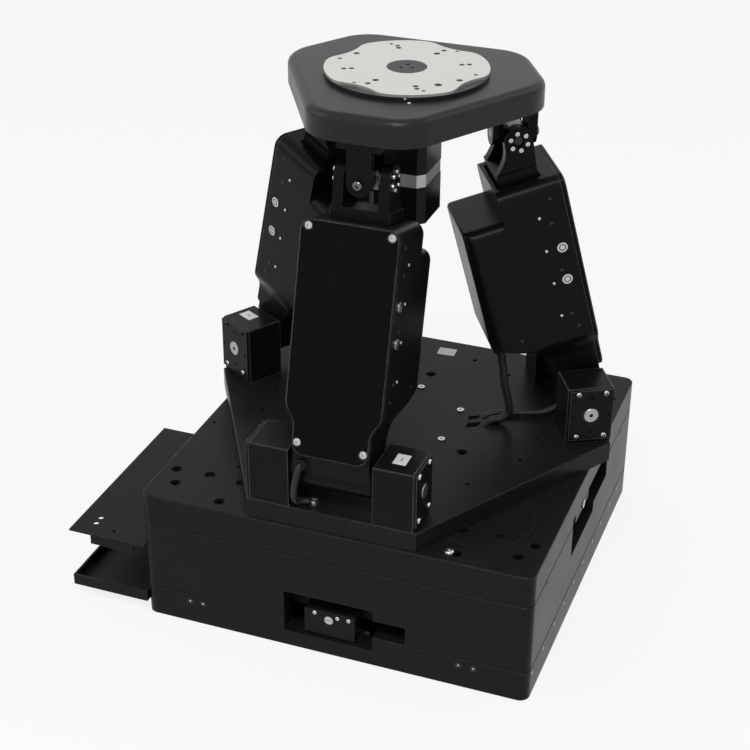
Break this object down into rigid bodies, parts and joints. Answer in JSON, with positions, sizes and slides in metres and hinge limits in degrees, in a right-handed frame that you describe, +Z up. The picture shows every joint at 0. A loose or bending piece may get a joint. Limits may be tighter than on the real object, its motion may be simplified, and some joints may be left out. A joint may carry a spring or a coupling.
{
  "type": "parallel kinematic motion platform",
  "caption": "Black motion platform for optics: stacked cross slides under a leaning tripod of driven legs, universal joints and a rotary table with a silver mounting plate.",
  "frame": {"origin": "centre of the underside of the square base", "axes": "+Z up along the axis of the rotary table, -Y towards the front leg and the front window, +X to the right, the cable trays on the -X side"},
  "size_m": [0.498, 0.4058, 0.5375],
  "materials": {
    "body_black": "satin black anodised aluminium",
    "cover_black": "smooth black anodised aluminium with bright chamfers",
    "tray_black": "black painted sheet aluminium",
    "rail_steel": "ground steel",
    "magnet_steel": "nickel plated magnets on a steel strip",
    "coil_resin": "black cast resin",
    "screw_steel": "bright stainless steel",
    "pin_steel": "ground steel",
    "bush_bronze": "oiled bronze",
    "motor_black": "satin black paint",
    "band_silver": "bare brushed aluminium",
    "plate_silver": "clear anodised aluminium, fine turned face",
    "cable_black": "matt black cable jacket"
  },
  "bodies": {
    "base": {"base_frame": "body_black", "y_rails": "rail_steel", "y_magnet_track": "magnet_steel", "lower_cable_tray": "tray_black"},
    "y_carriage": {"middle_frame": "body_black", "y_carriages": "rail_steel", "y_motor_coil": "coil_resin", "y_end_block": "body_black", "y_lock_pin": "screw_steel", "upper_cable_tray": "tray_black", "x_rails": "rail_steel", "x_magnet_track": "magnet_steel"},
    "x_carriage": {"top_slab": "body_black", "slab_covers": "body_black", "x_carriages": "rail_steel", "x_motor_coil": "coil_resin", "x_end_block": "body_black", "x_lock_pin": "screw_steel", "tripod_plate": "body_black", "centre_cover": "body_black", "plate_screws": "screw_steel", "hinge_posts": "body_black", "hinge_caps": "body_black", "hinge_bushes": "bush_bronze", "leg_cables": "cable_black"},
    "leg_1": {"leg_1_housing": "body_black", "leg_1_cover": "cover_black", "leg_1_cover_screws": "screw_steel", "leg_1_hinge_shaft": "pin_steel", "leg_1_drive": "pin_steel"},
    "leg_2": {"leg_2_housing": "body_black", "leg_2_cover": "cover_black", "leg_2_cover_screws": "screw_steel", "leg_2_hinge_shaft": "pin_steel", "leg_2_drive": "pin_steel"},
    "leg_3": {"leg_3_housing": "body_black", "leg_3_cover": "cover_black", "leg_3_cover_screws": "screw_steel", "leg_3_hinge_shaft": "pin_steel", "leg_3_drive": "pin_steel"},
    "rod_1": {"leg_1_yoke": "body_black"},
    "rod_2": {"leg_2_yoke": "body_black"},
    "rod_3": {"leg_3_yoke": "body_black"},
    "tilt_1": {"joint_1_yoke_pins": "pin_steel"},
    "tilt_2": {"joint_2_washers": "pin_steel"},
    "platform": {"platform_plate": "body_black", "platform_clevises": "body_black", "rotary_motor": "motor_black", "motor_band": "band_silver", "rotary_bearing": "rail_steel"},
    "pin_1": {"joint_1_clevis_pin": "pin_steel"},
    "pin_2": {"joint_2_clevis_pin": "pin_steel"},
    "pin_3": {"joint_3_clevis_pin": "pin_steel"},
    "cross_1": {"joint_1_cross": "pin_steel"},
    "cross_2": {"joint_2_cross": "pin_steel", "joint_2_yoke_pins": "pin_steel"},
    "cross_3": {"joint_3_cross": "pin_steel", "joint_3_yoke_pins": "pin_steel"},
    "table": {"table_flange": "body_black", "mounting_plate": "plate_silver"}
  },
  "joints": [
    {"name": "y_slide", "type": "slide", "parent": "base", "child": "y_carriage", "axis": [0, 1, 0], "range_m": [-0.05, 0.05]},
    {"name": "x_slide", "type": "slide", "parent": "y_carriage", "child": "x_carriage", "axis": [1, 0, 0], "range_m": [-0.05, 0.05]},
    {"name": "leg_1_hinge", "type": "hinge", "parent": "x_carriage", "child": "leg_1", "pos_m": [0, -0.1755, 0.197], "axis": [1, 0, 0], "range_deg": [-0.5, 0.5]},
    {"name": "leg_1_slide", "type": "slide", "parent": "leg_1", "child": "rod_1", "axis": [0, 0.2584, 0.966], "range_m": [-0.008, 0.008]},
    {"name": "leg_2_hinge", "type": "hinge", "parent": "x_carriage", "child": "leg_2", "pos_m": [0.15199, 0.08775, 0.197], "axis": [-0.5, 0.866, 0], "range_deg": [-0.5, 0.5]},
    {"name": "leg_2_slide", "type": "slide", "parent": "leg_2", "child": "rod_2", "axis": [-0.2238, -0.1292, 0.966], "range_m": [-0.008, 0.008]},
    {"name": "leg_3_hinge", "type": "hinge", "parent": "x_carriage", "child": "leg_3", "pos_m": [-0.15199, 0.08775, 0.197], "axis": [-0.5, -0.866, 0], "range_deg": [-0.5, 0.5]},
    {"name": "leg_3_slide", "type": "slide", "parent": "leg_3", "child": "rod_3", "axis": [0.2238, -0.1292, 0.966], "range_m": [-0.008, 0.008]},
    {"name": "platform_tilt_1", "type": "hinge", "parent": "x_carriage", "child": "tilt_1", "pos_m": [0.0892, 0.0515, 0.468], "axis": [-1, 0, 0], "range_deg": [-3.2, 3.2]},
    {"name": "platform_tilt_2", "type": "hinge", "parent": "tilt_1", "child": "tilt_2", "pos_m": [-0.0892, 0.0515, 0.468], "axis": [0.5, -0.866, 0], "range_deg": [-3.2, 3.2]},
    {"name": "platform_tilt_3", "type": "hinge", "parent": "tilt_2", "child": "platform", "pos_m": [0, -0.103, 0.468], "axis": [0.5, 0.866, 0], "range_deg": [-3.2, 3.2]},
    {"name": "joint_1_swing", "type": "hinge", "parent": "platform", "child": "pin_1", "pos_m": [0, -0.103, 0.468], "axis": [0, -1, 0], "range_deg": [-2.8, 2.8]},
    {"name": "joint_1_level", "type": "hinge", "parent": "pin_1", "child": "cross_1", "pos_m": [0, -0.103, 0.468], "axis": [0, -1, 0], "range_deg": [-2.8, 2.8]},
    {"name": "joint_2_swing", "type": "hinge", "parent": "platform", "child": "pin_2", "pos_m": [0.0892, 0.0515, 0.468], "axis": [0.866, 0.5, 0], "range_deg": [-2.8, 2.8]},
    {"name": "joint_2_level", "type": "hinge", "parent": "pin_2", "child": "cross_2", "pos_m": [0.0892, 0.0515, 0.468], "axis": [0.866, 0.5, 0], "range_deg": [-2.8, 2.8]},
    {"name": "joint_3_swing", "type": "hinge", "parent": "platform", "child": "pin_3", "pos_m": [-0.0892, 0.0515, 0.468], "axis": [-0.866, 0.5, 0], "range_deg": [-2.8, 2.8]},
    {"name": "joint_3_level", "type": "hinge", "parent": "pin_3", "child": "cross_3", "pos_m": [-0.0892, 0.0515, 0.468], "axis": [-0.866, 0.5, 0], "range_deg": [-2.8, 2.8]},
    {"name": "table_spin", "type": "hinge", "parent": "platform", "child": "table", "pos_m": [0, 0, 0.531], "axis": [0, 0, 1], "continuous": true}
  ],
  "couplings": [
    {"joint": "leg_1_hinge", "follows": "leg_1_slide", "rad_per_m": 0.95365},
    {"joint": "leg_2_hinge", "follows": "leg_2_slide", "rad_per_m": 0.95365},
    {"joint": "leg_3_hinge", "follows": "leg_3_slide", "rad_per_m": 0.95365},
    {"joint": "platform_tilt_1", "follows": "leg_1_slide", "rad_per_m": 6.7001},
    {"joint": "platform_tilt_2", "follows": "leg_2_slide", "rad_per_m": 6.7001},
    {"joint": "platform_tilt_3", "follows": "leg_3_slide", "rad_per_m": 6.7001},
    {"joint": "joint_1_swing", "follows": "leg_2_slide", "rad_per_m": -5.8025},
    {"joint": "joint_1_level", "follows": "leg_3_slide", "rad_per_m": 5.8025},
    {"joint": "joint_2_swing", "follows": "leg_1_slide", "rad_per_m": 5.8025},
    {"joint": "joint_2_level", "follows": "leg_3_slide", "rad_per_m": -5.8025},
    {"joint": "joint_3_swing", "follows": "leg_1_slide", "rad_per_m": -5.8025},
    {"joint": "joint_3_level", "follows": "leg_2_slide", "rad_per_m": 5.8025}
  ]
}
